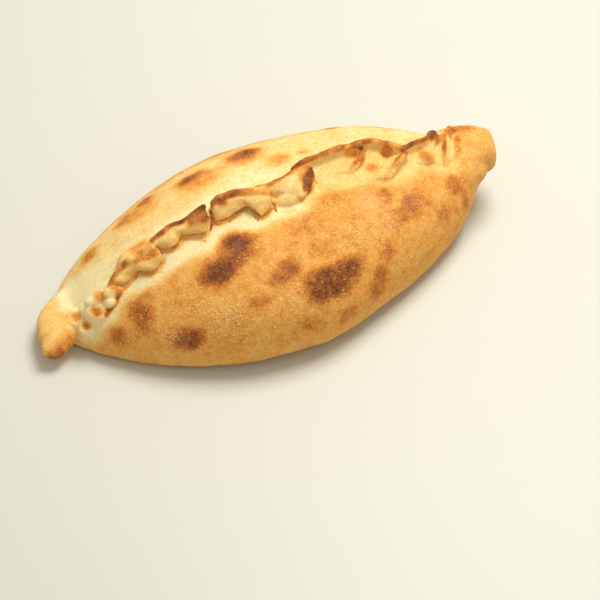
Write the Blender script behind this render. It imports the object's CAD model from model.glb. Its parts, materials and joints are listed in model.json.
"""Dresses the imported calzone: one baked piece of dough with its browning and blisters, on a plain stage.

Laid out as an add-on and run as a script. Lengths in the shape tables are millimetres, in the frame of the
tables themselves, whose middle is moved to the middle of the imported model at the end.
"""

import json
import math

import bmesh
import bpy
import numpy as np
from bpy.props import FloatProperty, FloatVectorProperty, IntProperty, PointerProperty
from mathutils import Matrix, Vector, kdtree, noise

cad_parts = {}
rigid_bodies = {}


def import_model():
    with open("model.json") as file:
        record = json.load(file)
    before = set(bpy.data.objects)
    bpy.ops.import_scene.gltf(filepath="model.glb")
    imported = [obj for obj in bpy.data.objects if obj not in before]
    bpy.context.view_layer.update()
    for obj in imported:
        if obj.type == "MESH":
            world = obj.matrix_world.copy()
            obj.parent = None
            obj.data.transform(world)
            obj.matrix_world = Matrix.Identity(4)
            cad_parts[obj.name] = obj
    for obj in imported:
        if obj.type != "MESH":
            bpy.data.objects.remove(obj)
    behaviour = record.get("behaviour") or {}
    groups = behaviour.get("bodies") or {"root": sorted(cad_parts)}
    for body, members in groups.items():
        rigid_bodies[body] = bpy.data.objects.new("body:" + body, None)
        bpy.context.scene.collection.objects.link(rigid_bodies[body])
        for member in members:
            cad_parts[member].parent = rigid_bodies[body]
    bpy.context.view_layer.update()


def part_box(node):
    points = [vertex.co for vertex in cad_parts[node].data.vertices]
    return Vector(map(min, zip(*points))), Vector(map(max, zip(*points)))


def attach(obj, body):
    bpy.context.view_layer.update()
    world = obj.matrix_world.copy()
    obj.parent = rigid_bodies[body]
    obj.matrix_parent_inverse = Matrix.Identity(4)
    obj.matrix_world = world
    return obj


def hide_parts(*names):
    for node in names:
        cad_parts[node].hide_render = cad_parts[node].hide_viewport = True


bl_info = {
    "name": "Baked Calzone",
    "version": (1, 0, 0),
    "blender": (4, 5, 0),
    "location": "3D View > Sidebar > Calzone",
    "description": "Builds a whole baked calzone with its crimped seam, browning, blisters and stage",
    "category": "Add Mesh",
}

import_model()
LOW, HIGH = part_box("calzone")

MM = 0.001

# Plan outline: half widths to the front and back of the long axis, their reach to either end,
# and the powers that shape them
WIDEST_AT = -3.5
FRONT = {"width": 72.0, "left": 127.0, "right": 137.0, "left_shape": (2.19, 0.91), "right_shape": (1.26, 0.59)}
BACK = {"width": 70.2, "left": 133.0, "right": 128.0, "left_shape": (1.57, 0.46), "right_shape": (2.88, 0.52)}

# Height of the crust's middle line, and how far the underside lifts off at both ends
TOP_AT = -10.0
DOME_HEIGHT = 58.0
LEFT_REACH = 124.0
RIGHT_REACH = 137.0
LOWEST_CROWN = 9.0
LEFT_DOME_POWERS = (1.9, 0.9)
RAISED_END_DROP = 22.0
RAISED_END_POWER = 2.2
LEFT_LIFT_OFF = 6.0
RIGHT_LIFT_OFF = 23.0

# Cross-section
BELLY_SHARE = 0.27
SIDE_ROUNDNESS = 2.17
CROWN_ROUNDNESS = 0.475
UNDER_ROUNDNESS = 0.42

# The dough is drawn up to the seam like a low tent, whose ridge wanders over these places in plan
SEAM_X = (-128.0, -100.0, -75.0, -41.0, -21.0, -5.0, 6.0, 22.0, 32.0, 56.0, 70.0, 83.0, 95.0, 106.0, 126.0)
SEAM_Y = (-2.0, -1.5, 2.0, 3.0, 1.0, -4.0, 0.0, 4.0, 9.0, 12.0, 9.0, 1.0, 4.0, 7.0, 13.0)
TENT_HEIGHT = 4.6
TENT_FRONT_REACH = 5.5
TENT_BACK_REACH = 11.0

# Crimps that roll over to the front: crest, free lip, the radii of crest, sheet and lip, how far the
# sheet bulges, and how far the crest is baked from its start to its end
ROLLED = {
    "near_tongue": {
        "crest": ((-102.0, -2.5, 5.5), (-92.0, 1.0, 7.0), (-82.0, 0.5, 7.5), (-74.5, 2.0, 8.5)),
        "lip": (
            (-97.0, -3.0, 4.0),
            (-92.5, -5.5, 4.0),
            (-86.0, -4.5, 4.2),
            (-81.5, -7.0, 3.4),
            (-77.0, -9.8, 3.0),
            (-72.8, -8.2, 3.8),
            (-71.6, -3.6, 6.0),
        ),
        "radii": (2.1, 1.2, 1.1),
        "bulge": 0.7,
        "baked": (0.62, 0.84, 0.74, 0.62, 0.58),
        "under": (0.5, 0.55, 0.6, 0.8, 0.85, 0.7),
    },
    "long_dark": {
        "crest": ((-74.0, 3.5, 7.5), (-61.0, 3.5, 8.0), (-49.0, 2.5, 8.5), (-41.0, 3.0, 10.5)),
        "lip": (
            (-70.5, 0.0, 3.4),
            (-65.5, -4.0, 3.0),
            (-61.5, -4.8, 2.8),
            (-57.5, -1.6, 3.8),
            (-53.0, -4.6, 3.2),
            (-48.0, -7.6, 2.8),
            (-43.2, -7.2, 3.0),
            (-39.6, -3.0, 6.0),
        ),
        "radii": (2.0, 1.2, 1.1),
        "bulge": 1.3,
        "baked": (0.72, 0.9, 0.93, 0.86, 0.95),
        "under": (0.6, 0.7, 0.66, 0.6, 0.8, 0.84, 0.8),
    },
    "thick_band": {
        "crest": ((-37.0, 3.5, 6.5), (-30.0, 4.0, 8.0), (-18.0, 0.5, 8.0), (-5.0, -6.0, 6.5)),
        "lip": (
            (-37.5, -4.0, 1.6),
            (-31.5, -5.6, 2.4),
            (-26.0, -5.6, 3.6),
            (-20.0, -5.4, 4.6),
            (-14.8, -6.6, 5.0),
            (-15.8, -11.0, 2.8),
            (-14.6, -13.6, 1.8),
            (-10.0, -12.0, 2.8),
            (-5.5, -8.5, 4.0),
        ),
        "radii": (2.9, 1.7, 1.1),
        "bulge": 0.9,
        "baked": (0.62, 0.84, 0.76, 0.72, 0.5),
        "under": (0.6, 0.8, 0.9, 0.92, 0.75, 0.9, 0.9, 0.85, 0.7),
    },
    "lens_eared": {
        "crest": ((-13.0, 2.5, 5.0), (-4.0, -0.5, 7.5), (9.0, 1.0, 8.0), (18.0, 3.0, 8.5), (24.0, 2.5, 9.0)),
        "lip": (
            (-2.0, -3.5, 3.5),
            (5.0, -6.5, 2.5),
            (11.0, -11.0, 3.2),
            (17.0, -8.0, 4.6),
            (22.0, -3.5, 6.4),
            (24.5, 0.5, 8.2),
        ),
        "radii": (1.9, 1.9, 2.0),
        "bulge": 1.0,
        "baked": (0.5, 0.72, 0.84, 0.66, 0.4),
        "under": (0.45, 0.5, 0.6, 0.5),
    },
}

# Crimps that stand up: crest, the hook that its end folds down the front, the two radii, and how far
# both are baked from start to end
STANDING = {
    "first_hook": {
        "crest": ((15.5, 7.5, 5.0), (23.0, 8.5, 8.0), (37.0, 9.5, 8.0), (52.0, 11.8, 8.0), (60.5, 7.5, 8.0)),
        "hook": ((60.8, 6.0, 8.0), (57.5, 2.5, 5.5), (52.5, -1.0, 4.0), (46.5, -3.8, -0.2)),
        "radii": (1.8, 1.6),
        "baked": ((0.9, 0.84, 0.84, 0.8, 0.84), (0.9, 0.74, 0.6, 0.35)),
    },
    "second_hook": {
        "crest": ((55.0, 12.8, 7.5), (66.0, 11.0, 8.0), (76.0, 5.5, 8.0), (83.0, -1.0, 8.0)),
        "hook": ((83.4, -3.0, 8.0), (78.5, -6.5, 6.0), (72.0, -10.5, 4.0), (64.5, -14.2, 0.0)),
        "radii": (1.8, 1.9),
        "baked": ((0.84, 0.82, 0.76, 0.74), (0.78, 0.74, 0.62, 0.4)),
    },
    "knob_topped": {
        "crest": ((81.0, 1.5, 7.0), (90.0, 2.5, 8.0), (98.0, 4.5, 8.0), (106.0, 7.5, 8.5)),
        "hook": ((106.5, 4.5, 7.0), (101.5, -2.5, 3.5), (96.5, -10.5, -1.6)),
        "radii": (1.7, 1.3),
        "baked": ((0.84, 0.9, 0.8, 0.9), (0.5, 0.2, 0.15)),
    },
    "steep_pleat": {
        "crest": ((107.0, 3.5, 6.5), (112.0, 6.5, 7.5), (116.5, 9.0, 8.0)),
        "hook": ((116.0, 6.0, 7.5), (111.0, -3.0, 4.0), (105.0, -11.0, -1.6)),
        "radii": (1.7, 1.9),
        "baked": ((0.5, 0.62, 0.6), (0.66, 0.8, 0.4)),
    },
    "last_pleat": {
        "crest": ((114.0, 8.0, 8.0), (120.0, 11.0, 11.5), (126.5, 12.5, 13.5), (131.0, 13.0, 14.5)),
        "hook": ((126.5, 9.0, 12.5), (120.5, -1.0, 5.5), (113.5, -10.0, -1.4)),
        "radii": (2.2, 2.4),
        "baked": ((0.6, 0.72, 0.88, 0.8), (0.78, 0.66, 0.35)),
    },
}
FOOT_DEPTH = 5.0
FOOT_RADIUS = 2.6
CREST_WANDER = 0.9
CREST_WANDER_LENGTH = 8.0
STRAP_SIDE = (-7.0, 2.6)
STRAP_LEVEL = 0.3
STRIPE_SHIFT = Vector((-1.9, 0.8, -0.2))
STRAP_FOOT = Vector((-1.0, 0.5, -4.0))
THIN_END = 0.4

# Small lumps of dough: X, Y, lift of the middle, then half length, half width and half height
KNOBS = {
    "neck_outer": (-121.3, 1.6, 0.5, 6.4, 7.6, 5.2),
    "neck_front": (-118.6, -8.0, 0.5, 5.6, 5.4, 5.2),
    "neck_bridge": (-121.0, -2.0, 0.0, 5.0, 7.0, 4.6),
    "lobe_dark": (-111.4, -6.6, 2.5, 7.0, 6.2, 5.6),
    "lobe_pale": (-104.0, -8.0, 3.0, 3.6, 3.2, 3.2),
    "lobe_back": (-108.0, -2.5, 3.5, 9.0, 4.2, 4.8),
    "lobe_small": (-100.5, -5.2, 3.8, 6.6, 3.4, 3.4),
    "mound": (-82.0, 5.5, -0.5, 10.0, 7.0, 6.0),
    "behind_band": (-11.0, 6.5, 1.0, 8.0, 3.0, 3.6),
    "crest_knob": (105.8, 7.5, 8.5, 3.8, 3.4, 3.4),
    "pleat_bump": (94.0, -4.0, 0.0, 8.0, 5.5, 4.6),
    "under_band": (4.5, -9.0, 0.0, 9.0, 5.0, 4.8),
    "ear_cap": (-41.5, 2.4, 9.6, 2.8, 2.6, 2.6),
    "stub_heel": (123.0, -12.0, -5.0, 9.0, 7.0, 8.0),
}

# Presses into the dough: X, Y, lift of the middle, the radius and how deep
DENTS = {
    "outer_dimple": (-122.0, -0.4, 5.5, 4.6, 2.0),
    "front_dimple": (-119.9, -9.6, 6.0, 3.8, 2.0),
    "lobe_dimple": (-112.8, -9.0, 7.6, 4.6, 2.1),
    "first_pocket": (53.0, 7.0, 4.6, 4.6, 3.0),
    "second_pocket": (73.6, 3.4, 3.6, 5.0, 3.0),
    "pleat_valley": (101.0, -5.0, 1.0, 4.0, 1.4),
    "behind_band": (-25.0, 20.0, 0.0, 16.0, 1.8),
}

# Slits and creases: a line of X, Y and lift, then half width, depth and how far baked
SLITS = {
    "ear_edge": (((-36.8, 3.0, 2.4), (-38.4, -2.0, 0.8), (-40.2, -4.8, 0.0), (-42.4, -7.2, -0.5)), 0.8, 1.4, 0.95),
    "band_start": (((-38.6, -1.0, 1.2), (-37.6, -5.4, 0.6), (-33.0, -7.2, 0.6)), 0.6, 1.0, 0.7),
    "band_lip": (((-31.0, -7.4, 0.8), (-26.0, -7.4, 2.0), (-20.0, -7.0, 3.4), (-16.6, -8.4, 3.4)), 0.8, 1.6, 0.95),
    "band_lobe": (((-17.2, -11.0, 1.6), (-17.0, -13.0, 1.0), (-16.7, -15.2, 0.2)), 0.8, 1.5, 0.92),
    "band_side": (((-14.0, -15.6, 0.6), (-10.0, -13.6, 1.2), (-6.0, -11.0, 2.0), (-4.6, -9.3, 2.4)), 0.8, 1.6, 0.92),
    "band_notch": (((-4.7, -9.3, 2.4), (-4.8, -11.4, 1.6), (-5.2, -14.6, 0.8)), 0.75, 1.4, 0.9),
    "lens_side": (((25.2, -0.6, 2.8), (25.0, -2.4, 1.6), (24.6, -4.8, 0.9)), 0.5, 1.2, 0.74),
    "first_under": (((61.8, 3.4, 4.4), (57.4, 0.2, 3.6), (52.3, -3.4, 2.4), (48.4, -5.2, 1.0)), 0.7, 1.2, 0.76),
    "second_under": (((84.0, -5.2, 4.0), (79.4, -9.0, 3.6), (72.4, -12.6, 2.4), (66.4, -15.4, 0.8)), 0.7, 1.3, 0.8),
    "petal_under": (((-70.6, -3.0, 2.6), (-71.4, -8.4, 1.8), (-75.6, -11.6, 1.2), (-81.5, -9.0, 1.4)), 0.6, 1.3, 0.5),
    "ear_under": (((-55.0, -5.2, 1.6), (-49.6, -8.8, 1.0), (-45.0, -9.6, 0.8)), 0.7, 1.0, 0.72),
}

# How wide a slit is along its line, as a share of its widest
SLIT_TAPER = (0.9, 1.0, 0.9, 0.7, 0.35)

# End flaps: a spine of X, Y, Z and the half width and half thickness at each of its points
TONGUE = (
    (-104.0, 19.0, 8.0, 12.0, 5.0),
    (-117.0, 15.5, 8.5, 14.0, 6.2),
    (-128.0, 7.5, 9.5, 13.4, 6.6),
    (-134.5, -2.0, 10.0, 10.6, 6.2),
    (-139.0, -8.5, 9.5, 7.4, 5.2),
)
STUB = (
    (98.0, 0.0, 23.0, 24.0, 12.0),
    (111.0, 2.0, 27.0, 25.5, 14.5),
    (122.0, 2.8, 30.0, 22.5, 13.8),
    (130.0, 2.0, 31.6, 18.0, 12.8),
    (137.0, -0.6, 32.4, 13.4, 11.4),
)
FLAP_SIDES = 40
NOSE_TURNS = (15.0, 30.0, 45.0, 60.0, 75.0, 85.0)

# Length of a flap's round nose as a share of its last half width, and how blunt it is (0 is square)
TONGUE_NOSE = (0.85, 0.8)
STUB_NOSE = (0.46, 0.5)

# Where a flap grows out of the body, the dough is soft: X, Y, lift, radius
NECKS = {
    "tongue_neck": (-121.0, 20.0, 0.0, 17.0),
    "tongue_root": (-127.0, 2.0, 0.0, 9.0),
    "stub_front": (108.0, -27.0, 0.0, 18.0),
    "stub_under": (112.0, 2.0, -26.0, 16.0),
    "stub_back": (113.0, 25.0, 0.0, 13.0),
    "stub_corner": (127.0, -14.0, -3.0, 16.0),
}
NECK_ROUNDS = 90

# The dough sags on to its base by this much, up to this height
SAG = 1.6
SAG_REACH = 14.0

# Uneven dough
SWELL_LENGTH = 42.0
RIPPLE_LENGTH = 11.0
WRINKLE = 0.55
WRINKLE_LENGTH = 4.5
WRINKLE_REACH = 15.0

# The mesh stays fine this far to either side of the seam
FINE_FRONT = 19.0
FINE_BACK = 12.0
NOISE_SHIFT = Vector((3.7, 11.2, 5.1))

# Browned places on the crust: X, Y, half length, half width, turn in degrees and how far baked
SPOTS = {
    "gold_middle": (27.0, -17.0, 12.0, 6.0, 0.0, 0.6),
    "gold_top": (6.5, -29.0, 14.0, 8.0, 0.0, 0.59),
    "gold_front": (11.0, -42.0, 13.0, 8.0, 0.0, 0.58),
    "gold_right": (80.0, -29.0, 7.0, 8.0, 0.0, 0.62),
    "pair_upper": (-34.0, -23.3, 10.0, 9.5, 0.0, 0.95),
    "pair_bridge": (-40.0, -31.0, 8.0, 6.5, 35.0, 0.84),
    "pair_lower": (-50.5, -31.8, 11.0, 8.5, 10.0, 0.97),
    "left_tall": (-92.3, -25.0, 6.5, 10.5, -15.0, 0.8),
    "left_tall_top": (-87.0, -20.0, 9.0, 4.0, 20.0, 0.64),
    "left_small": (-107.0, -23.3, 5.5, 5.0, 0.0, 0.72),
    "left_low": (-76.0, -48.6, 11.0, 6.5, 0.0, 0.84),
    "middle": (-14.3, -47.5, 8.0, 5.5, 0.0, 0.87),
    "middle_tail": (-22.0, -49.6, 7.0, 4.5, 0.0, 0.74),
    "middle_low": (-35.6, -55.6, 6.0, 4.5, 0.0, 0.68),
    "large_core": (6.6, -60.0, 14.0, 9.0, 0.0, 0.97),
    "large_right": (18.5, -55.8, 10.0, 7.0, 20.0, 0.92),
    "large_left": (-2.0, -60.5, 10.0, 9.0, 0.0, 0.94),
    "right_core": (36.0, -59.6, 6.0, 8.0, -20.0, 0.78),
    "right_top": (45.2, -52.0, 6.0, 6.0, 0.0, 0.72),
    "right_low": (31.5, -63.0, 6.0, 6.0, 0.0, 0.7),
    "low_middle": (9.5, -69.3, 8.0, 5.0, 0.0, 0.68),
    "low_left": (-13.3, -70.1, 8.0, 5.0, 0.0, 0.62),
    "grey": (70.3, -30.5, 5.5, 8.5, -10.0, 0.82),
    "grey_side": (62.6, -36.0, 6.0, 5.0, 0.0, 0.7),
    "small_red": (58.2, -22.7, 4.6, 4.6, 0.0, 0.7),
    "stub_root": (104.7, -21.9, 7.0, 6.5, 0.0, 0.74),
    "stub_streak": (109.8, -27.0, 3.0, 6.5, 0.0, 0.68),
    "right_gold": (88.8, -35.5, 7.0, 6.0, 0.0, 0.64),
    "between_hooks": (61.0, -2.5, 5.0, 4.5, 0.0, 0.58),
    "back_fringe": (-0.5, 38.5, 12.0, 8.0, 0.0, 0.66),
    "back_dark": (4.4, 43.6, 10.0, 6.5, 0.0, 0.92),
    "back_left_fringe": (-28.0, 33.5, 14.0, 8.0, 10.0, 0.6),
    "back_left_dark": (-32.6, 39.6, 10.5, 5.5, 0.0, 0.86),
    "back_orange": (-64.0, 38.5, 15.0, 9.0, 0.0, 0.5),
    "back_brown": (-58.6, 45.5, 6.0, 5.0, 0.0, 0.76),
    "back_patch": (-73.5, 40.5, 8.0, 6.0, 0.0, 0.64),
    "back_end": (-98.3, 33.0, 6.5, 5.5, 0.0, 0.68),
    "far_left": (-78.0, 53.0, 11.0, 7.0, 0.0, 0.74),
    "far_middle": (-22.0, 66.0, 14.0, 8.0, 10.0, 0.8),
    "far_middle_fringe": (-6.0, 62.0, 16.0, 9.0, 0.0, 0.68),
    "far_right": (44.0, 60.0, 11.0, 8.0, -20.0, 0.72),
    "far_right_small": (62.0, 50.0, 6.0, 5.0, 0.0, 0.62),
    "far_end": (92.0, 40.0, 8.0, 7.0, 0.0, 0.6),
    "behind_crest": (16.5, 25.8, 7.0, 6.5, 0.0, 0.57),
    "behind_crest_small": (32.0, 25.8, 4.0, 3.0, 0.0, 0.57),
}

# Browned places off the crust, on the folds and flaps: X, Y, Z, radius and how far baked
FOLD_SPOTS = {
    "tongue_tip": (-144.5, -15.0, 6.5, 5.0, 0.95),
    "tongue_side": (-137.5, -15.0, 10.0, 5.4, 0.76),
    "tongue_rim": (-131.0, -11.0, 12.5, 6.0, 0.62),
    "tongue_left": (-147.0, -1.0, 10.0, 8.0, 0.42),
    "outer_eye": (-121.5, 0.3, 17.5, 3.4, 0.54),
    "front_eye": (-119.5, -9.0, 18.3, 2.8, 0.62),
    "lobe_eye": (-112.9, -9.2, 26.2, 3.2, 0.72),
    "lobe_top": (-108.0, -4.0, 31.5, 4.5, 0.56),
    "small_top": (-99.3, -6.0, 36.5, 4.0, 0.6),
    "mound_top": (-79.0, 8.0, 45.0, 6.5, 0.57),
    "petal": (-75.5, -3.0, 48.6, 3.2, 0.66),
    "ear_face": (-43.5, -1.5, 62.5, 6.0, 0.78),
    "ear_cap": (-41.0, 3.0, 66.5, 3.6, 1.0),
    "band_stain": (-31.5, 1.0, 63.0, 2.8, 0.86),
    "knob_behind": (-17.0, 7.5, 61.5, 2.4, 0.62),
    "lens": (21.5, -1.5, 63.5, 5.6, 0.92),
    "lens_low": (17.5, -6.0, 61.5, 4.4, 0.88),
    "first_tip": (60.8, 6.2, 61.0, 3.4, 0.95),
    "first_pocket": (53.4, 8.0, 58.6, 2.6, 0.82),
    "second_pocket": (74.0, 4.4, 54.2, 2.6, 0.82),
    "second_corner": (83.0, -2.0, 57.0, 3.4, 0.84),
    "knob_cap": (106.0, 8.0, 52.5, 4.0, 0.92),
    "bump": (95.5, -4.5, 49.5, 5.0, 0.68),
    "stub_corner": (143.0, 3.0, 36.0, 6.0, 0.36),
    "stub_top": (129.0, 12.5, 44.0, 6.0, 0.66),
}

# Strokes along the folds, such as their shadowed gaps, which bake to a brown red, and their pale rims:
# a line of X, Y and lift, then half width and how far baked
STROKES = {
    "gap_lobes": (((-108.5, -11.5, 3.0), (-103.5, -10.5, 3.0), (-98.0, -8.5, 3.5)), 1.9, 0.7),
    "gap_crest": (((-98.0, -8.0, 3.5), (-92.0, -8.0, 3.0), (-86.0, -7.0, 3.0)), 1.1, 0.62),
    "gap_petal": (((-86.0, -7.0, 3.0), (-80.5, -11.5, 2.0), (-75.0, -13.5, 1.5)), 0.9, 0.55),
    "gap_scallops": (((-72.0, -8.0, 2.0), (-67.0, -6.5, 3.0), (-60.0, -6.0, 2.5)), 1.6, 0.68),
    "gap_ear": (((-58.0, -5.5, 2.0), (-53.0, -8.0, 1.5), (-48.0, -11.0, 1.0)), 1.0, 0.6),
    "lens": (((15.0, -9.6, 6.4), (18.1, -7.1, 7.4), (21.6, -3.6, 8.8), (23.2, -0.5, 9.6)), 2.2, 0.93),
    "petal_face": (((-84.0, -2.0, 7.5), (-78.0, -3.6, 7.5), (-75.0, -5.0, 7.0)), 2.0, 0.6),
    "ear_face": (((-50.0, -0.5, 8.0), (-45.0, -1.8, 8.0), (-42.0, -1.5, 9.0)), 3.0, 0.74),
    "first_strap": (((59.0, 4.5, 9.0), (55.0, 1.5, 7.0), (51.5, -0.5, 5.5)), 2.0, 0.72),
    "second_strap": (((82.0, -3.5, 9.5), (77.0, -7.0, 8.0), (71.5, -10.5, 6.0)), 2.4, 0.56),
}

# Where the pale flank beside the seam ends: X, then Y in front of it and Y behind it
PALE_X = (-128, -118, -107, -95, -82, -68, -55, -44, -36, -25, -15, -3, 8, 20, 33, 45, 55, 63, 70, 80, 90, 100, 108, 118)
PALE_FRONT = (-12, -19, -16, -13, -16, -17, -17, -17, -14, -18, -21, -22, -19, -17, -16, -14, -11, -17, -19, -15, -13, -17, -16, -10)
PALE_BACK = (20, 27, 24, 19, 17, 14, 14, 14, 15, 19, 22, 23, 20, 17, 17, 19, 19, 17, 15, 13, 13, 13, 13, 15)
PALE_EDGE = 9.0

# How far the browning of a crest reaches down its sides, and over what length it fades
CREST_REACH = 0.9
CREST_FADE = 1.9
ABOVE = Vector((0.0, 0.0, 0.6))

# The same under the free lips: the dark edge, then the crust in their shade
EDGE_REACH = 1.1
SHADE_REACH = 4.0
SHADE_LEVEL = 0.36

# Where a spot ends, as a share of its size, and how quickly it fades there
SPOT_END = 1.5
SPOT_FADE = 0.85

# How far the plain parts of the crust are baked
PALE_LEVEL_X = (-128, -20, 10, 30, 118)
PALE_LEVELS = (0.0, 0.01, 0.11, 0.24, 0.26)
FRONT_LEVEL = 0.48
LOW_BELLY_LEVEL = 0.42
BACK_LEVEL = 0.19
FAR_BACK_X = (-60, 10, 60, 120)
FAR_BACK_LEVELS = (0.64, 0.6, 0.5, 0.44)
TONGUE_LEVEL = 0.27
STUB_LEVEL = 0.45
UNDER_LEVEL = 0.6
WEB_LEVEL = 0.22

# Where small blisters crowd: X, Y, half length, half width, turn in degrees and how densely
BLISTERED = {
    "crowd": (-55.0, -55.0, 17.0, 9.0, 12.0, 1.0),
    "crowd_left": (-83.0, -42.0, 8.0, 5.0, 0.0, 0.55),
    "crowd_upper": (-66.0, -42.0, 12.0, 7.0, 0.0, 0.5),
    "middle": (-18.0, -60.0, 12.0, 6.0, 0.0, 0.6),
    "pair_edge": (-27.0, -31.0, 6.0, 6.0, 0.0, 0.4),
    "tall_spot": (-92.0, -25.0, 6.0, 9.0, 0.0, 0.4),
    "large_spot": (8.0, -60.0, 16.0, 8.0, 0.0, 0.3),
    "right_field": (32.0, -42.0, 22.0, 11.0, 0.0, 0.35),
    "stub_top": (118.0, 4.0, 12.0, 10.0, 0.0, 0.12),
}
PLAIN_BLISTERS = 0.09

# Distance between the centres of the dots that the finest blisters make, in metres
DOT_CELL = 0.0013

# Flour dust: X, Y, half length, half width, turn in degrees and how thickly
DUST = {
    "pink": (47.0, -25.0, 9.0, 6.0, 0.0, 0.3),
    "pink_low": (51.0, -38.0, 8.0, 7.0, 0.0, 0.2),
    "on_grey": (69.8, -27.0, 5.0, 6.0, 0.0, 0.16),
    "on_pair": (-34.0, -24.5, 4.0, 4.0, 0.0, 0.14),
    "on_left_low": (-80.0, -46.0, 8.0, 4.0, 0.0, 0.16),
}


class CrustSizes(bpy.types.PropertyGroup):
    swell: FloatProperty(name="Swell", description="Height of the slow swells of the dough", default=1.2 * MM, unit="LENGTH")
    ripple: FloatProperty(name="Ripple", description="Height of the small ripples", default=0.35 * MM, unit="LENGTH")
    voxel: FloatProperty(name="Grain", description="Finest detail of the folds", default=0.62 * MM, unit="LENGTH")
    most_triangles: IntProperty(name="Most triangles", description="Limit for the dough's mesh", default=190000, min=10000)


class CrustColours(bpy.types.PropertyGroup):
    cream: FloatVectorProperty(
        name="Cream", description="Dough that hardly baked", subtype="COLOR", min=0, max=1, default=(0.93, 0.79, 0.43)
    )
    straw: FloatVectorProperty(
        name="Straw", description="Lightly baked dough", subtype="COLOR", min=0, max=1, default=(0.88, 0.57, 0.18)
    )
    gold: FloatVectorProperty(
        name="Gold", description="Golden crust", subtype="COLOR", min=0, max=1, default=(0.80, 0.36, 0.068)
    )
    amber: FloatVectorProperty(
        name="Amber", description="Orange-brown crust", subtype="COLOR", min=0, max=1, default=(0.58, 0.2, 0.036)
    )
    brown: FloatVectorProperty(
        name="Brown", description="Brown spots", subtype="COLOR", min=0, max=1, default=(0.32, 0.1, 0.024)
    )
    dark: FloatVectorProperty(
        name="Dark", description="Darkest crests and tips", subtype="COLOR", min=0, max=1, default=(0.15, 0.042, 0.012)
    )
    dust: FloatVectorProperty(
        name="Dust", description="Flour dust", subtype="COLOR", min=0, max=1, default=(0.82, 0.56, 0.36)
    )


class BlisterSizes(bpy.types.PropertyGroup):
    smallest: FloatProperty(name="Smallest", description="Radius of the smallest blister", default=0.2 * MM, unit="LENGTH")
    largest: FloatProperty(name="Largest", description="Radius of the largest blister", default=0.56 * MM, unit="LENGTH")
    density: FloatProperty(name="Density", description="Blisters on each square metre where they crowd", default=760000)
    seed: IntProperty(name="Seed", description="Which scatter of blisters", default=7)


class StageSettings(bpy.types.PropertyGroup):
    floor: FloatVectorProperty(
        name="Floor", description="Colour of the plain floor", subtype="COLOR", min=0, max=1, default=(0.69, 0.695, 0.61)
    )
    key: FloatProperty(name="Key light", description="Power of the soft light above and behind, in watts", default=10.4)
    fill: FloatProperty(name="Fill light", description="Power of the soft light in front, in watts", default=0.7)
    sky: FloatProperty(name="Sky", description="Strength of the light from all round", default=0.52)
    lens: FloatProperty(name="Lens", description="Focal length of the camera in millimetres", default=133.2)
    azimuth: FloatProperty(name="Azimuth", description="Camera's turn round the calzone", default=math.radians(-27.4), subtype="ANGLE")
    elevation: FloatProperty(name="Elevation", description="Camera's height above the horizon", default=math.radians(46.6), subtype="ANGLE")
    distance: FloatProperty(name="Distance", description="From the camera to the point it looks at", default=1.25, unit="LENGTH")


def share(x, middle, left, right):
    """0 at the middle, 1 where the side's reach ends."""
    return min((middle - x) / left if x < middle else (x - middle) / right, 1.0)


def half_width(x, y):
    """The plan outline's half width on the side of y."""
    side = FRONT if y < 0 else BACK
    power, tail = side["left_shape"] if x < WIDEST_AT else side["right_shape"]
    u = share(x, WIDEST_AT, side["left"], side["right"])
    return max(side["width"] * (1 - u**power) ** tail, 0.5)


def crown(x):
    """The height of the crust's middle line, without the seam."""
    u = share(x, TOP_AT, LEFT_REACH, RIGHT_REACH)
    if x < TOP_AT:
        power, tail = LEFT_DOME_POWERS
        return max(DOME_HEIGHT * (1 - u**power) ** tail, LOWEST_CROWN)
    return DOME_HEIGHT - RAISED_END_DROP * u**RAISED_END_POWER


def underside(x):
    """How far the bottom has lifted off towards the ends."""
    u = share(x, TOP_AT, LEFT_REACH, RIGHT_REACH)
    return LEFT_LIFT_OFF * u**6 if x < TOP_AT else RIGHT_LIFT_OFF * u**7


def belly(x):
    """The height of the widest line round the body."""
    return underside(x) + BELLY_SHARE * (crown(x) - underside(x))


def crust(x, y):
    """The height of the smooth upper face at a place in plan."""
    across = min(abs(y) / half_width(x, y), 1.0)
    return belly(x) + (crown(x) - belly(x)) * (1 - across**SIDE_ROUNDNESS) ** CROWN_ROUNDNESS


def tent(x, y):
    """How far the dough is drawn up beside the seam."""
    away = y - float(np.interp(x, SEAM_X, SEAM_Y))
    reach = TENT_BACK_REACH if away > 0 else TENT_FRONT_REACH
    across = min(abs(y) / half_width(x, y), 1.0)
    return TENT_HEIGHT * math.exp(-abs(away) / reach) * (1 - across**2)


def over_crust(point):
    x, y, lift = point
    return Vector((x, y, crust(x, y) + lift))


def body_ring(x, count):
    """One closed section of the body: over the top from back to front, then under it."""
    points = []
    for k in range(count):
        angle = 2 * math.pi * k / count
        c, s = math.cos(angle), math.sin(angle)
        y = half_width(x, c) * math.copysign(abs(c) ** 0.92, c)
        if s >= 0:
            z = crust(x, y) + tent(x, y)
        else:
            z = belly(x) - (belly(x) - underside(x)) * abs(s) ** UNDER_ROUNDNESS
        points.append(Vector((x, y, z)))
    return points


def skin(rings):
    """A closed mesh through rings of equal count, with a fan over each end."""
    mesh = bmesh.new()
    rows = [[mesh.verts.new(p) for p in ring] for ring in rings]
    count = len(rows[0])
    for a, b in zip(rows, rows[1:]):
        for k in range(count):
            n = (k + 1) % count
            mesh.faces.new((a[k], a[n], b[n], b[k]))
    for row in (rows[0], rows[-1]):
        middle = mesh.verts.new(sum((v.co for v in row), Vector()) / count)
        for k in range(count):
            mesh.faces.new((middle, row[k], row[(k + 1) % count]))
    bmesh.ops.recalc_face_normals(mesh, faces=mesh.faces)
    return mesh


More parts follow.
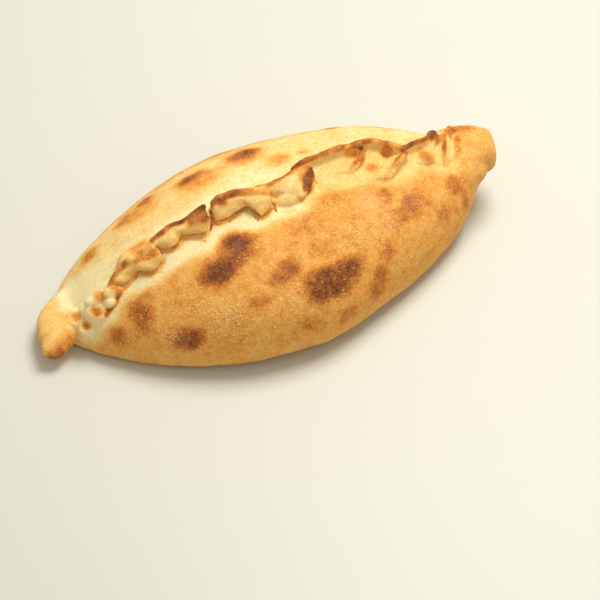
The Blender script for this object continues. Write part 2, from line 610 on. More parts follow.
def body():
    first, last = TOP_AT - LEFT_REACH + 4.0, TOP_AT + RIGHT_REACH - 1.0
    middle, half = (first + last) / 2, (last - first) / 2
    steps = 110
    places = [middle - half * math.cos(math.pi * (k + 0.5) / steps) for k in range(steps)]
    return skin([body_ring(x, 120) for x in places])


def sampled(points, count):
    """Evenly spaced places on a smooth curve through the given points."""
    p = [2 * points[0] - points[1], *points, 2 * points[-1] - points[-2]]
    found = []
    for k in range(count):
        t = k / (count - 1) * (len(points) - 1)
        i = min(int(t), len(points) - 2)
        u = t - i
        a, b, c, d = p[i : i + 4]
        bend = 2 * a - 5 * b + 4 * c - d
        found.append(0.5 * (2 * b + (c - a) * u + bend * u * u + (3 * b - a - 3 * c + d) * u**3))
    return found


def across_fold(upper, lower, k):
    """Unit directions up the fold and out of its face."""
    before, after = max(k - 1, 0), min(k + 1, len(upper) - 1)
    along = (upper[after] + lower[after] - upper[before] - lower[before]).normalized()
    up = (upper[k] - lower[k]).normalized()
    return up, along.cross(up).normalized()


def strip(upper, lower, upper_radius, lower_radius):
    """A sheet of dough with round edges between two curves, thinner at both of its ends."""
    last = len(upper) - 1
    rings = []
    for k in range(last + 1):
        up, out = across_fold(upper, lower, k)
        thin = THIN_END + (1 - THIN_END) * math.sqrt(max(1 - abs(2 * k / last - 1) ** 5, 0.0))
        ring = []
        for j in range(16):
            c, s = math.cos(math.pi * (j + 0.5) / 8), math.sin(math.pi * (j + 0.5) / 8)
            centre, radius = (upper[k], upper_radius) if s > 0 else (lower[k], lower_radius)
            ring.append(centre + radius * thin * (out * c + up * s))
        rings.append(ring)
    return skin(rings)


def hand_pinched(line):
    """The line with the small wander that fingers leave in it."""
    return [p + CREST_WANDER * noise.noise_vector(p / CREST_WANDER_LENGTH + NOISE_SHIFT) for p in line]


def fold_line(points, count):
    return hand_pinched(sampled([over_crust(p) for p in points], count))


def web(crest, bead):
    """The upright dough under a crest, down into the body."""
    foot = [Vector((p.x, p.y, crust(p.x, p.y) - FOOT_DEPTH)) for p in crest]
    return strip(crest, foot, bead, FOOT_RADIUS)


def rolled_crimp(crest, lip, radii, bulge):
    """A web, and a sheet that bends from its crest over a shoulder to the free lip."""
    bead, sheet, edge = radii
    crest_line, lip_line = fold_line(crest, 48), fold_line(lip, 48)
    shoulder = []
    for k in range(len(crest_line)):
        up, out = across_fold(crest_line, lip_line, k)
        shoulder.append((crest_line[k] + lip_line[k]) / 2 + out * bulge)
    return [web(crest_line, bead), strip(crest_line, shoulder, sheet, sheet), strip(shoulder, lip_line, sheet, edge)]


def standing_crimp(crest, hook, radii):
    """A web, and a strap of dough that its end folds down the front, with a wall under the strap's edge."""
    crest_line, edge = fold_line(crest, 40), fold_line(hook, 30)
    inner = []
    for p in edge:
        lift = STRAP_LEVEL * (p.z - crust(p.x, p.y))
        inner.append(over_crust((p.x + STRAP_SIDE[0], p.y + STRAP_SIDE[1], lift)))
    foot = [over_crust((p.x + STRAP_FOOT.x, p.y + STRAP_FOOT.y, STRAP_FOOT.z)) for p in edge]
    return [
        web(crest_line, radii[0]),
        strip(edge, inner, 0.6 * radii[1], radii[1]),
        strip(edge, foot, 0.6 * radii[1], radii[1]),
    ]


def knob(x, y, lift, *half):
    mesh = bmesh.new()
    bmesh.ops.create_uvsphere(mesh, u_segments=24, v_segments=16, radius=1.0)
    bmesh.ops.scale(mesh, verts=mesh.verts, vec=Vector(half))
    bmesh.ops.translate(mesh, verts=mesh.verts, vec=over_crust((x, y, lift)))
    return mesh


def flap_ring(centre, side, up, size):
    ring = []
    for j in range(FLAP_SIDES):
        angle = 2 * math.pi * j / FLAP_SIDES
        c, s = math.cos(angle), math.sin(angle)
        across = size.x * math.copysign(abs(c) ** 0.8, c)
        ring.append(centre + side * across + up * size.y * math.copysign(abs(s) ** 0.9, s))
    return ring


def flap(spine, nose):
    """A flattened end of dough along a spine, closed by a round end."""
    reach, bluntness = nose
    centres = sampled([Vector(s[:3]) for s in spine], 24)
    sizes = sampled([Vector((s[3], s[4], 0.0)) for s in spine], 24)
    rings = []
    for k in range(len(centres)):
        before, after = max(k - 1, 0), min(k + 1, len(centres) - 1)
        along = (centres[after] - centres[before]).normalized()
        side = along.cross(Vector((0.0, 0.0, 1.0))).normalized()
        up = side.cross(along).normalized()
        rings.append(flap_ring(centres[k], side, up, sizes[k]))
    for turn in NOSE_TURNS:
        c, s = math.cos(math.radians(turn)), math.sin(math.radians(turn))
        size = Vector((sizes[-1].x * c**bluntness, sizes[-1].y * c**0.8, 0.0))
        rings.append(flap_ring(centres[-1] + along * reach * sizes[-1].x * s, side, up, size))
    return skin(rings)


def as_object(mesh, name, collection):
    data = bpy.data.meshes.new(name)
    mesh.to_mesh(data)
    mesh.free()
    made = bpy.data.objects.new(name, data)
    collection.objects.link(made)
    return made


def apply(thing, kind, **settings):
    """Adds one modifier, applies it and leaves a plain mesh."""
    modifier = thing.modifiers.new(kind, kind)
    for key, value in settings.items():
        setattr(modifier, key, value)
    make_plain(thing)


def make_plain(thing):
    graph = bpy.context.evaluated_depsgraph_get()
    mesh = bpy.data.meshes.new_from_object(thing.evaluated_get(graph))
    old = thing.data
    thing.modifiers.clear()
    thing.data = mesh
    bpy.data.meshes.remove(old)


def fuse(thing, meshes):
    """Joins every fold, knob and flap to the body."""
    folds = bpy.data.collections.new("folds")
    bpy.context.scene.collection.children.link(folds)
    for number, mesh in enumerate(meshes):
        as_object(mesh, f"fold_{number}", folds)
    apply(thing, "BOOLEAN", operation="UNION", operand_type="COLLECTION", collection=folds, solver="MANIFOLD")
    for fold in list(folds.objects):
        data = fold.data
        bpy.data.objects.remove(fold)
        bpy.data.meshes.remove(data)
    bpy.data.collections.remove(folds)


def mesh_arrays(thing):
    """Places and normals of the mesh's points."""
    count = len(thing.data.vertices)
    places, normals = np.empty(count * 3), np.empty(count * 3)
    thing.data.vertices.foreach_get("co", places)
    thing.data.vertex_normals.foreach_get("vector", normals)
    return places.reshape(-1, 3), normals.reshape(-1, 3)


def put_places(thing, places):
    thing.data.vertices.foreach_set("co", places.ravel())
    thing.data.update()


def press(places, normals, x, y, lift, radius, depth):
    """Pushes a soft dent into the dough."""
    near = 1 - ((places - np.array(over_crust((x, y, lift)))) ** 2).sum(axis=1) / radius**2
    places -= normals * (depth * np.clip(near, 0, 1) ** 2)[:, None]


def line_distance(places, line):
    """How far each place is from a line of close points."""
    best = np.full(len(places), np.inf)
    for p in line:
        np.minimum(best, ((places - np.array(p)) ** 2).sum(axis=1), out=best)
    return np.sqrt(best)


def slit_line(points):
    return sampled([over_crust(p) for p in points], 5 * len(points))


def carve(places, normals, points, half_wide, depth, baked):
    """Opens a narrow slit along a line."""
    line = slit_line(points)
    away, open_share = along_line(places, line, SLIT_TAPER)
    near = np.clip(1 - away / (2 * half_wide * open_share), 0, 1)
    places -= normals * (depth * near**1.5)[:, None]


def soften(thing, x, y, lift, radius):
    """Smooths the dough round one place."""
    centre = over_crust((x, y, lift))
    group = thing.vertex_groups.new(name="soft")
    for v in thing.data.vertices:
        near = 1 - (v.co - centre).length / radius
        if near > 0:
            group.add([v.index], min(2 * near, 1.0), "REPLACE")
    apply(thing, "SMOOTH", factor=0.5, iterations=NECK_ROUNDS, vertex_group=group.name)
    thing.vertex_groups.clear()


def roughen(places, normals, swell, ripple):
    """Gives the smooth dough its slow swells and small ripples."""
    out = np.empty(len(places))
    for k, p in enumerate(places):
        at = Vector(p)
        slow = noise.noise(at / SWELL_LENGTH + NOISE_SHIFT)
        quick = noise.noise(at / RIPPLE_LENGTH - NOISE_SHIFT)
        out[k] = swell * slow + ripple * quick
        away = abs(at.y - float(np.interp(at.x, SEAM_X, SEAM_Y))) / WRINKLE_REACH
        if away < 1:
            out[k] += WRINKLE * (1 - away) * noise.noise(at / WRINKLE_LENGTH + NOISE_SHIFT)
    places += normals * out[:, None]


def settle(places):
    """Lets the dough sag by its own weight, so that its base is flat."""
    z = places[:, 2]
    places[:, 2] = np.maximum(z - SAG * np.clip(1 - z / SAG_REACH, 0, None) ** 2, 0.0)


def dough(sizes):
    """The whole calzone in millimetres."""
    calzone = as_object(body(), "calzone_dough", bpy.context.scene.collection)
    shapes = [flap(TONGUE, TONGUE_NOSE), flap(STUB, STUB_NOSE)]
    for crimp in ROLLED.values():
        shapes.extend(rolled_crimp(crimp["crest"], crimp["lip"], crimp["radii"], crimp["bulge"]))
    for crimp in STANDING.values():
        shapes.extend(standing_crimp(crimp["crest"], crimp["hook"], crimp["radii"]))
    shapes.extend(knob(*values) for values in KNOBS.values())
    fuse(calzone, shapes)
    voxel = sizes.voxel / MM
    apply(calzone, "REMESH", mode="VOXEL", voxel_size=voxel)
    apply(calzone, "SMOOTH", factor=0.5, iterations=5)
    for neck in NECKS.values():
        soften(calzone, *neck)
    places, normals = mesh_arrays(calzone)
    for dent in DENTS.values():
        press(places, normals, *dent)
    for slit in SLITS.values():
        carve(places, normals, *slit)
    roughen(places, normals, sizes.swell / MM, sizes.ripple / MM)
    settle(places)
    put_places(calzone, places)
    thin_out(calzone, places, sizes.most_triangles)
    return calzone


def thin_out(calzone, places, most):
    """Takes triangles out of the plain crust, and leaves the folds as they are."""
    calzone.data.calc_loop_triangles()
    triangles = len(calzone.data.loop_triangles)
    if triangles <= most:
        return
    away = places[:, 1] - np.interp(places[:, 0], SEAM_X, SEAM_Y)
    plain = np.flatnonzero((away < -FINE_FRONT) | (away > FINE_BACK) | (places[:, 2] < 12))
    group = calzone.vertex_groups.new(name="plain")
    group.add(plain.tolist(), 1.0, "REPLACE")
    apply(calzone, "DECIMATE", ratio=most / triangles, vertex_group=group.name)
    calzone.vertex_groups.clear()


def smooth_step(value):
    t = np.clip(value, 0, 1)
    return t * t * (3 - 2 * t)


def towards(level, goal, amount):
    return level + (goal - level) * amount


def patch(places, x, y, half_long, half_wide, turn):
    """1 in the middle of an oval place on the crust, 0 outside it."""
    away = places - np.array(over_crust((x, y, 0.0)))
    c, s = math.cos(math.radians(turn)), math.sin(math.radians(turn))
    along = away[:, 0] * c + away[:, 1] * s
    across = np.hypot(-away[:, 0] * s + away[:, 1] * c, away[:, 2])
    return smooth_step(SPOT_FADE * (SPOT_END - np.hypot(along / half_long, across / half_wide)))


def warped(places, length, amount):
    """The places shifted by a slow noise, so that what is drawn on them has uneven edges."""
    shift = np.array([noise.noise_vector(Vector(p) / length + NOISE_SHIFT) for p in places])
    return places + amount * shift


def plain_baking(places, normals):
    """How far the crust is baked away from its spots and folds."""
    x, y, z = places.T
    seam = np.interp(x, SEAM_X, SEAM_Y)
    front = y < seam
    height = np.array([belly(v) for v in x])
    level = np.where(front, FRONT_LEVEL, BACK_LEVEL)
    far_back = np.interp(x, FAR_BACK_X, FAR_BACK_LEVELS)
    level = towards(level, far_back, smooth_step((y - 44) / 18))
    level = towards(level, LOW_BELLY_LEVEL, np.where(front, smooth_step((height + 8 - z) / 14), 0))
    pale_front = smooth_step((y - np.interp(x, PALE_X, PALE_FRONT)) / PALE_EDGE + 0.5)
    pale_back = smooth_step((np.interp(x, PALE_X, PALE_BACK) - y) / PALE_EDGE + 0.5)
    pale = np.interp(x, PALE_LEVEL_X, PALE_LEVELS)
    level = towards(level, pale, np.where(front, pale_front, pale_back) * smooth_step((z - height) / 5))
    level = towards(level, TONGUE_LEVEL, smooth_step((-122 - x) / 6))
    level = towards(level, STUB_LEVEL, smooth_step((x - 112) / 10))
    return towards(level, UNDER_LEVEL, smooth_step((0.2 - z) / 0.2) * smooth_step((-normals[:, 2] - 0.7) / 0.2))


def crest_baking(places, level):
    """Browns the crests of the crimps, wider in some places than in others."""
    uneven = 0.6 * np.array([noise.noise(Vector(p) / 5.0 + NOISE_SHIFT) for p in places])
    lines = []
    for crimp in ROLLED.values():
        lines.append((fold_line(crimp["crest"], 48), crimp["baked"], crimp["radii"][0] + CREST_REACH))
    for crimp in STANDING.values():
        lines.append((fold_line(crimp["crest"], 40), crimp["baked"][0], crimp["radii"][0] + CREST_REACH))
        stripe = [p + STRIPE_SHIFT for p in fold_line(crimp["hook"], 30)]
        lines.append((stripe, crimp["baked"][1], crimp["radii"][1] + 0.5))
    for line, baked, reach in lines:
        away, goal = along_line(places, [p + ABOVE for p in line], baked)
        level = towards(level, goal, smooth_step((reach + uneven - away) / CREST_FADE))
    return level


def along_line(places, line, baked):
    """How far each place is from a line, and the level of the line's nearest point."""
    best = np.full(len(places), np.inf)
    at = np.zeros(len(places))
    for k, p in enumerate(line):
        squared = ((places - np.array(p)) ** 2).sum(axis=1)
        nearer = squared < best
        best[nearer] = squared[nearer]
        at[nearer] = k / (len(line) - 1)
    return np.sqrt(best), np.interp(at, np.linspace(0, 1, len(baked)), baked)


def under_lips(places, level):
    """Browns the under edges of the rolled lips, and the crust in their shade a little."""
    for crimp in ROLLED.values():
        line = [p - ABOVE * crimp["radii"][2] for p in fold_line(crimp["lip"], 48)]
        away, goal = along_line(places, line, crimp["under"])
        level = towards(level, np.maximum(level, SHADE_LEVEL), smooth_step((SHADE_REACH - away) / 2.0))
        level = towards(level, goal, smooth_step((EDGE_REACH - away) / 0.7))
    return level


def ball(places, x, y, z, radius):
    away = np.sqrt(((places - np.array((x, y, z))) ** 2).sum(axis=1)) / radius
    return smooth_step(SPOT_FADE * (SPOT_END - away))


def fold_pallor(places, level):
    """The sides of the folds stay pale under their crests."""
    lifts = places[:, 2] - np.array([crust(x, y) + 0.6 * tent(x, y) for x, y in places[:, :2]])
    x, y = places[:, 0], places[:, 1]
    seam = np.interp(x, SEAM_X, SEAM_Y)
    close = smooth_step((16 - np.abs(y - seam)) / 3) * smooth_step((x + 100) / 8) * smooth_step((118 - x) / 6)
    return towards(level, WEB_LEVEL, smooth_step((lifts - 0.8) / 1.2) * close)


def baking(places, normals):
    """How far every place of the crust is baked: 0 is raw, 1 is nearly black."""
    uneven = warped(places, 7.0, 1.6)
    level = plain_baking(warped(places, 14.0, 3.2), normals)
    for x, y, half_long, half_wide, turn, goal in SPOTS.values():
        level = towards(level, goal, patch(uneven, x, y, half_long, half_wide, turn))
    level = fold_pallor(places, level)
    level = under_lips(places, level)
    level = crest_baking(places, level)
    for points, half_wide, goal in STROKES.values():
        near = 1.5 - line_distance(uneven, slit_line(points)) / half_wide
        level = towards(level, goal, smooth_step(near))
    for x, y, z, radius, goal in FOLD_SPOTS.values():
        level = towards(level, goal, ball(uneven, x, y, z, radius))
    for points, half_wide, depth, goal in SLITS.values():
        away, open_share = along_line(places, slit_line(points), SLIT_TAPER)
        level = towards(level, goal, smooth_step(1.9 - away / (half_wide * open_share)))
    return level


def spread(places, zones):
    """The strongest of several oval zones at each place."""
    found = np.zeros(len(places))
    for x, y, half_long, half_wide, turn, strength in zones.values():
        np.maximum(found, strength * patch(places, x, y, half_long, half_wide, turn), out=found)
    return found


def blistering(places, normals):
    """How densely blisters stand at each place."""
    seam = np.interp(places[:, 0], SEAM_X, SEAM_Y)
    front = smooth_step((seam - 18 - places[:, 1]) / 6) * smooth_step((normals[:, 2] + 0.25) / 0.3)
    return np.maximum(spread(places, BLISTERED), PLAIN_BLISTERS * front) * (places[:, 2] > 4)


def write_attribute(thing, name, values):
    attribute = thing.data.attributes.new(name, "FLOAT", "POINT")
    attribute.data.foreach_set("value", np.asarray(values, dtype=np.float32))


def node(tree, kind, **settings):
    made = tree.nodes.new(kind)
    for key, value in settings.items():
        setattr(made, key, value)
    return made


def linked(tree, target, value):
    """Sets an input to a number or colour, or links it to another node's output."""
    if isinstance(value, bpy.types.NodeSocket):
        tree.links.new(value, target)
    else:
        target.default_value = value


def calculate(tree, operation, *values):
    made = node(tree, "ShaderNodeMath", operation=operation)
    for target, value in zip(made.inputs, values):
        linked(tree, target, value)
    return made.outputs[0]


def noise_field(tree, place, size, detail, distortion=0.0):
    """A noise whose features are about this long in metres, from -0.5 to 0.5."""
    made = node(tree, "ShaderNodeTexNoise")
    linked(tree, made.inputs["Vector"], place)
    made.inputs["Scale"].default_value = 1 / size
    made.inputs["Detail"].default_value = detail
    made.inputs["Distortion"].default_value = distortion
    return calculate(tree, "SUBTRACT", made.outputs["Fac"], 0.5)


def new_group(name, inputs, outputs):
    tree = bpy.data.node_groups.new(name, "ShaderNodeTree")
    for label, kind, default in inputs:
        socket = tree.interface.new_socket(label, in_out="INPUT", socket_type=kind)
        if default is not None:
            socket.default_value = default
    for label, kind in outputs:
        tree.interface.new_socket(label, in_out="OUTPUT", socket_type=kind)
    return tree, node(tree, "NodeGroupInput"), node(tree, "NodeGroupOutput")


def uneven_baking_group():
    """Breaks up a smooth bake level with blotches, mottling and fine speckle."""
    tree, given, result = new_group(
        "uneven_baking",
        [
            ("Baked", "NodeSocketFloat", 0.5),
            ("Blotches", "NodeSocketFloat", 0.1),
            ("Mottling", "NodeSocketFloat", 0.2),
            ("Speckle", "NodeSocketFloat", 0.2),
        ],
        [("Baked", "NodeSocketFloat")],
    )
    place = node(tree, "ShaderNodeTexCoord").outputs["Object"]
    level = given.outputs["Baked"]
    for label, size, detail in (("Blotches", 0.016, 2.0), ("Mottling", 0.0042, 3.0), ("Speckle", 0.0011, 2.0)):
        field = noise_field(tree, place, size, detail)
        level = calculate(tree, "ADD", level, calculate(tree, "MULTIPLY", field, given.outputs[label]))
    tree.links.new(level, result.inputs["Baked"])
    return tree


def blister_dots_group():
    """Dots where tiny blisters crowd: 1 on a dot, 0 beside it."""
    tree, given, result = new_group(
        "blister_dots", [("Density", "NodeSocketFloat", 0.2), ("Size", "NodeSocketFloat", 0.3)], [("Dots", "NodeSocketFloat")]
    )
    cells = node(tree, "ShaderNodeTexVoronoi")
    linked(tree, cells.inputs["Vector"], node(tree, "ShaderNodeTexCoord").outputs["Object"])
    cells.inputs["Scale"].default_value = 1 / DOT_CELL
    apart = node(tree, "ShaderNodeSeparateColor")
    tree.links.new(cells.outputs["Color"], apart.inputs["Color"])
    there = calculate(tree, "LESS_THAN", apart.outputs["Red"], given.outputs["Density"])
    size = calculate(tree, "MULTIPLY", given.outputs["Size"], calculate(tree, "ADD", apart.outputs["Green"], 0.5))
    near = calculate(tree, "DIVIDE", calculate(tree, "SUBTRACT", size, cells.outputs["Distance"]), 0.12)
    soft = node(tree, "ShaderNodeClamp")
    tree.links.new(near, soft.inputs["Value"])
    tree.links.new(calculate(tree, "MULTIPLY", soft.outputs["Result"], there), result.inputs["Dots"])
    return tree


def crust_colour_group(colours):
    """Turns a bake level into the colour of the crust, and lays flour dust over it."""
    tree, given, result = new_group(
        "crust_colour",
        [("Baked", "NodeSocketFloat", 0.5), ("Dust", "NodeSocketFloat", 0.0)],
        [("Colour", "NodeSocketColor")],
    )
    ramp = node(tree, "ShaderNodeValToRGB")
    steps = (
        (0.0, colours.cream),
        (0.24, colours.straw),
        (0.5, colours.gold),
        (0.68, colours.amber),
        (0.86, colours.brown),
        (1.0, colours.dark),
    )
    points = ramp.color_ramp.elements
    for k, (at, colour) in enumerate(steps):
        point = points[k] if k < 2 else points.new(at)
        point.position = at
        point.color = (*colour, 1.0)
    tree.links.new(given.outputs["Baked"], ramp.inputs["Fac"])
    place = node(tree, "ShaderNodeTexCoord").outputs["Object"]
    grains = calculate(tree, "ADD", calculate(tree, "MULTIPLY", noise_field(tree, place, 0.0009, 2.0), 3.0), 0.5)
    cover = calculate(tree, "MULTIPLY", given.outputs["Dust"], grains)
    mix = node(tree, "ShaderNodeMix", data_type="RGBA", clamp_factor=True)
    tree.links.new(cover, mix.inputs["Factor"])
    tree.links.new(ramp.outputs["Color"], mix.inputs["A"])
    mix.inputs["B"].default_value = (*colours.dust, 1.0)
    tree.links.new(mix.outputs["Result"], result.inputs["Colour"])
    return tree


def crust_grain_group():
    """The small relief of baked dough."""
    tree, given, result = new_group(
        "crust_grain", [("Coarse", "NodeSocketFloat", 1.0), ("Fine", "NodeSocketFloat", 0.5)], [("Height", "NodeSocketFloat")]
    )
    place = node(tree, "ShaderNodeTexCoord").outputs["Object"]
    coarse = calculate(tree, "MULTIPLY", noise_field(tree, place, 0.0026, 3.0), given.outputs["Coarse"])
    fine = calculate(tree, "MULTIPLY", noise_field(tree, place, 0.0008, 2.0), given.outputs["Fine"])
    tree.links.new(calculate(tree, "ADD", coarse, fine), result.inputs["Height"])
    return tree


def placed(tree, group, **values):
    """One use of a node group in a material, with its own values."""
    made = node(tree, "ShaderNodeGroup", node_tree=group)
    for label, value in values.items():
        linked(tree, made.inputs[label], value)
    return made


def value_of(tree, name):
    return node(tree, "ShaderNodeAttribute", attribute_name=name).outputs["Fac"]


def crust_material(name, groups, lighter, roughness):
    """A baked crust. A blister's is the same, less baked by the given amount."""
    material = bpy.data.materials.new(name)
    material.use_nodes = True
    tree = material.node_tree
    shader = tree.nodes["Principled BSDF"]
    dots = placed(tree, groups["dots"], Density=value_of(tree, "blistered"), Size=0.36).outputs["Dots"]
    paler = calculate(tree, "ADD", calculate(tree, "MULTIPLY", dots, 0.28), lighter)
    baked = calculate(tree, "SUBTRACT", value_of(tree, "baked"), paler)
    uneven = placed(tree, groups["baking"], Baked=baked, Blotches=0.22, Mottling=0.4, Speckle=0.52)
    colour = placed(tree, groups["colour"], Baked=uneven.outputs["Baked"], Dust=value_of(tree, "dust"))
    tree.links.new(colour.outputs["Colour"], shader.inputs["Base Color"])
    grain = placed(tree, groups["grain"], Coarse=1.0, Fine=0.5)
    bump = node(tree, "ShaderNodeBump")
    bump.inputs["Strength"].default_value = 0.5
    bump.inputs["Distance"].default_value = 0.5 * MM
    tree.links.new(calculate(tree, "ADD", grain.outputs["Height"], dots), bump.inputs["Height"])
    tree.links.new(bump.outputs["Normal"], shader.inputs["Normal"])
    spread_out = calculate(tree, "ADD", calculate(tree, "MULTIPLY", grain.outputs["Height"], 0.25), roughness)
    tree.links.new(spread_out, shader.inputs["Roughness"])
    shader.inputs["Specular IOR Level"].default_value = 0.18
    return material


def crust_groups(colours):
    return {
        "baking": uneven_baking_group(),
        "dots": blister_dots_group(),
        "colour": crust_colour_group(colours),
        "grain": crust_grain_group(),
    }


def plain_material(name, colour, roughness):
    material = bpy.data.materials.new(name)
    material.use_nodes = True
    tree = material.node_tree
    shader = tree.nodes["Principled BSDF"]
    place = node(tree, "ShaderNodeTexCoord").outputs["Object"]
    ramp = node(tree, "ShaderNodeValToRGB")
    ramp.color_ramp.elements[0].color = (*(0.985 * c for c in colour), 1.0)
    ramp.color_ramp.elements[1].color = (*colour, 1.0)
    tree.links.new(calculate(tree, "ADD", noise_field(tree, place, 0.05, 2.0), 0.5), ramp.inputs["Fac"])
    tree.links.new(ramp.outputs["Color"], shader.inputs["Base Color"])
    shader.inputs["Roughness"].default_value = roughness
    return material


def ride_on_root(piece):
    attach(piece, "root")
    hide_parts("calzone")


class CALZONE_OT_dough(bpy.types.Operator):
    """Builds the whole piece of dough with its folds and browning"""

    bl_idname = "calzone.dough"
    bl_label = "Dough"

    def execute(self, context):
        calzone = dough(context.scene.calzone_sizes)
        places, normals = mesh_arrays(calzone)
        write_attribute(calzone, "baked", baking(places, normals))
        write_attribute(calzone, "blistered", blistering(places, normals))
        write_attribute(calzone, "dust", spread(places, DUST))
        middle = (places.min(axis=0) + places.max(axis=0)) / 2
        centre = (LOW + HIGH) / 2
        places = (places - np.array((middle[0], middle[1], 0.0))) * MM + np.array((centre.x, centre.y, LOW.z))
        put_places(calzone, places)
        groups = crust_groups(context.scene.calzone_colours)
        calzone.data.materials.clear()
        calzone.data.materials.append(crust_material("golden_crust", groups, 0.0, 0.72))
        calzone.data.shade_smooth()
        ride_on_root(calzone)
        return {"FINISHED"}


def blister_tree(material):
    """Scatters small domes where the crust is blistered, each less baked than the crust under it."""
    tree = bpy.data.node_groups.new("blister_scatter", "GeometryNodeTree")
    tree.interface.new_socket("Geometry", in_out="INPUT", socket_type="NodeSocketGeometry")
    for label, kind in (
        ("Density", "NodeSocketFloat"),
        ("Smallest", "NodeSocketFloat"),
        ("Largest", "NodeSocketFloat"),
        ("Seed", "NodeSocketInt"),
    ):
        tree.interface.new_socket(label, in_out="INPUT", socket_type=kind)
    tree.interface.new_socket("Geometry", in_out="OUTPUT", socket_type="NodeSocketGeometry")
    given, result = node(tree, "NodeGroupInput"), node(tree, "NodeGroupOutput")
    density = node(tree, "GeometryNodeInputNamedAttribute", data_type="FLOAT")
    density.inputs["Name"].default_value = "blistered"
    amount = node(tree, "ShaderNodeMath", operation="MULTIPLY")
    tree.links.new(density.outputs["Attribute"], amount.inputs[0])
    tree.links.new(given.outputs["Density"], amount.inputs[1])
    points = node(tree, "GeometryNodeDistributePointsOnFaces", distribute_method="RANDOM")
    tree.links.new(given.outputs["Geometry"], points.inputs["Mesh"])
    tree.links.new(amount.outputs[0], points.inputs["Density"])
    tree.links.new(given.outputs["Seed"], points.inputs["Seed"])
    dome = node(tree, "GeometryNodeMeshIcoSphere")
    dome.inputs["Subdivisions"].default_value = 1
    dome.inputs["Radius"].default_value = 1.0
    size = node(tree, "FunctionNodeRandomValue", data_type="FLOAT")
    tree.links.new(given.outputs["Smallest"], size.inputs[2])
    tree.links.new(given.outputs["Largest"], size.inputs[3])
    tree.links.new(given.outputs["Seed"], size.inputs["Seed"])
    flat = node(tree, "ShaderNodeCombineXYZ")
    low = node(tree, "ShaderNodeMath", operation="MULTIPLY")
    low.inputs[1].default_value = 0.62
    tree.links.new(size.outputs[1], low.inputs[0])
    tree.links.new(size.outputs[1], flat.inputs["X"])
    tree.links.new(size.outputs[1], flat.inputs["Y"])
    tree.links.new(low.outputs[0], flat.inputs["Z"])
    place = node(tree, "GeometryNodeInstanceOnPoints")
    tree.links.new(points.outputs["Points"], place.inputs["Points"])
    tree.links.new(dome.outputs["Mesh"], place.inputs["Instance"])
    tree.links.new(points.outputs["Rotation"], place.inputs["Rotation"])
    tree.links.new(flat.outputs["Vector"], place.inputs["Scale"])
    real = node(tree, "GeometryNodeRealizeInstances")
    tree.links.new(place.outputs["Instances"], real.inputs["Geometry"])
    smooth = node(tree, "GeometryNodeSetShadeSmooth")
    tree.links.new(real.outputs["Geometry"], smooth.inputs["Geometry"])
    finish = node(tree, "GeometryNodeSetMaterial")
    finish.inputs["Material"].default_value = material
    tree.links.new(smooth.outputs["Geometry"], finish.inputs["Geometry"])
    tree.links.new(finish.outputs["Geometry"], result.inputs["Geometry"])
    return tree


def modifier_input(modifier, label, value):
    """Sets a geometry nodes input by the identifier of its socket."""
    for item in modifier.node_group.interface.items_tree:
        if item.item_type == "SOCKET" and item.in_out == "INPUT" and item.name == label:
            modifier[item.identifier] = value


class CALZONE_OT_blisters(bpy.types.Operator):
    """Scatters the small pale blisters over the crust"""

    bl_idname = "calzone.blisters"
    bl_label = "Blisters"

    def execute(self, context):
        calzone = bpy.data.objects["calzone_dough"]
        sizes = context.scene.calzone_blisters
        groups = {
            "baking": bpy.data.node_groups["uneven_baking"],
            "dots": bpy.data.node_groups["blister_dots"],
            "colour": bpy.data.node_groups["crust_colour"],
            "grain": bpy.data.node_groups["crust_grain"],
        }
        material = crust_material("blister_crust", groups, 0.2, 0.65)
        blisters = bpy.data.objects.new("micro_blisters", calzone.data.copy())
        context.scene.collection.objects.link(blisters)
        modifier = blisters.modifiers.new("scatter", "NODES")
        modifier.node_group = blister_tree(material)
        modifier_input(modifier, "Density", sizes.density)
        modifier_input(modifier, "Smallest", sizes.smallest)
        modifier_input(modifier, "Largest", sizes.largest)
        modifier_input(modifier, "Seed", sizes.seed)
        make_plain(blisters)
        if not blisters.data.polygons:
            raise RuntimeError("no blisters were scattered over the crust")
        ride_on_root(blisters)
        return {"FINISHED"}


def area_light(name, place, target, size, power, colour):
    data = bpy.data.lights.new(name, "AREA")
    data.shape = "DISK"
    data.size = size
    data.energy = power
    data.color = colour
    lamp = bpy.data.objects.new(name, data)
    lamp.location = place
    lamp.rotation_euler = (target - place).to_track_quat("-Z", "Y").to_euler()
    bpy.context.scene.collection.objects.link(lamp)


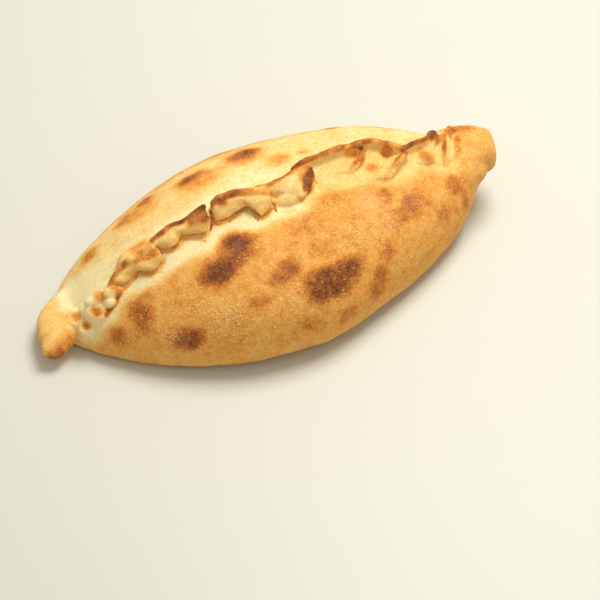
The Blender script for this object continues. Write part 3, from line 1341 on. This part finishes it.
class CALZONE_OT_stage(bpy.types.Operator):
    """Lays the plain floor and sets the lights and the camera"""

    bl_idname = "calzone.stage"
    bl_label = "Stage"

    def execute(self, context):
        stage = context.scene.calzone_stage
        mesh = bmesh.new()
        bmesh.ops.create_grid(mesh, x_segments=1, y_segments=1, size=3.0)
        floor = as_object(mesh, "floor", context.scene.collection)
        floor.data.materials.append(plain_material("pale_floor", stage.floor, 0.45))
        a, e = stage.azimuth, stage.elevation
        away = Vector((-math.sin(a), math.cos(a), 0.0))
        right = Vector((math.cos(a), math.sin(a), 0.0))
        up = Vector((0.0, 0.0, 1.0))
        middle = (LOW + HIGH) / 2
        area_light("key", away * 0.37 + right * 0.27 + up * 1.0, middle, 0.6, stage.key, (1.0, 0.97, 0.92))
        area_light("fill", -away * 0.8 + right * 0.3 + up * 0.9, middle, 1.0, stage.fill, (1.0, 0.98, 0.95))
        world = bpy.data.worlds.new("soft_sky")
        world.use_nodes = True
        world.node_tree.nodes["Background"].inputs["Color"].default_value = (1.0, 0.95, 0.86, 1.0)
        world.node_tree.nodes["Background"].inputs["Strength"].default_value = stage.sky
        context.scene.world = world
        context.scene.view_settings.view_transform = "Standard"
        back = -away * math.cos(e) + up * math.sin(e)
        camera = bpy.data.objects.new("camera", bpy.data.cameras.new("camera"))
        camera.data.sensor_width = 36.0
        camera.data.lens = stage.lens
        camera.location = Vector((0.0014, -0.02905, 0.0)) + back * stage.distance
        camera.rotation_euler = (-back).to_track_quat("-Z", "Y").to_euler()
        context.scene.collection.objects.link(camera)
        context.scene.camera = camera
        return {"FINISHED"}


class CALZONE_PT_sidebar(bpy.types.Panel):
    bl_label = "Baked Calzone"
    bl_idname = "CALZONE_PT_sidebar"
    bl_space_type = "VIEW_3D"
    bl_region_type = "UI"
    bl_category = "Calzone"

    def draw(self, context):
        scene = context.scene
        for group, operator in (
            (scene.calzone_sizes, "calzone.dough"),
            (scene.calzone_colours, None),
            (scene.calzone_blisters, "calzone.blisters"),
            (scene.calzone_stage, "calzone.stage"),
        ):
            box = self.layout.box()
            for name in group.__annotations__:
                box.prop(group, name)
            if operator:
                box.operator(operator)


CLASSES = (
    CrustSizes,
    CrustColours,
    BlisterSizes,
    StageSettings,
    CALZONE_OT_dough,
    CALZONE_OT_blisters,
    CALZONE_OT_stage,
    CALZONE_PT_sidebar,
)


def register():
    for one in CLASSES:
        bpy.utils.register_class(one)
    bpy.types.Scene.calzone_sizes = PointerProperty(type=CrustSizes)
    bpy.types.Scene.calzone_colours = PointerProperty(type=CrustColours)
    bpy.types.Scene.calzone_blisters = PointerProperty(type=BlisterSizes)
    bpy.types.Scene.calzone_stage = PointerProperty(type=StageSettings)


def unregister():
    del bpy.types.Scene.calzone_stage
    del bpy.types.Scene.calzone_blisters
    del bpy.types.Scene.calzone_colours
    del bpy.types.Scene.calzone_sizes
    for one in reversed(CLASSES):
        bpy.utils.unregister_class(one)


def main():
    register()
    bpy.ops.calzone.dough()
    bpy.ops.calzone.blisters()
    bpy.ops.calzone.stage()


if __name__ == "__main__":
    main()
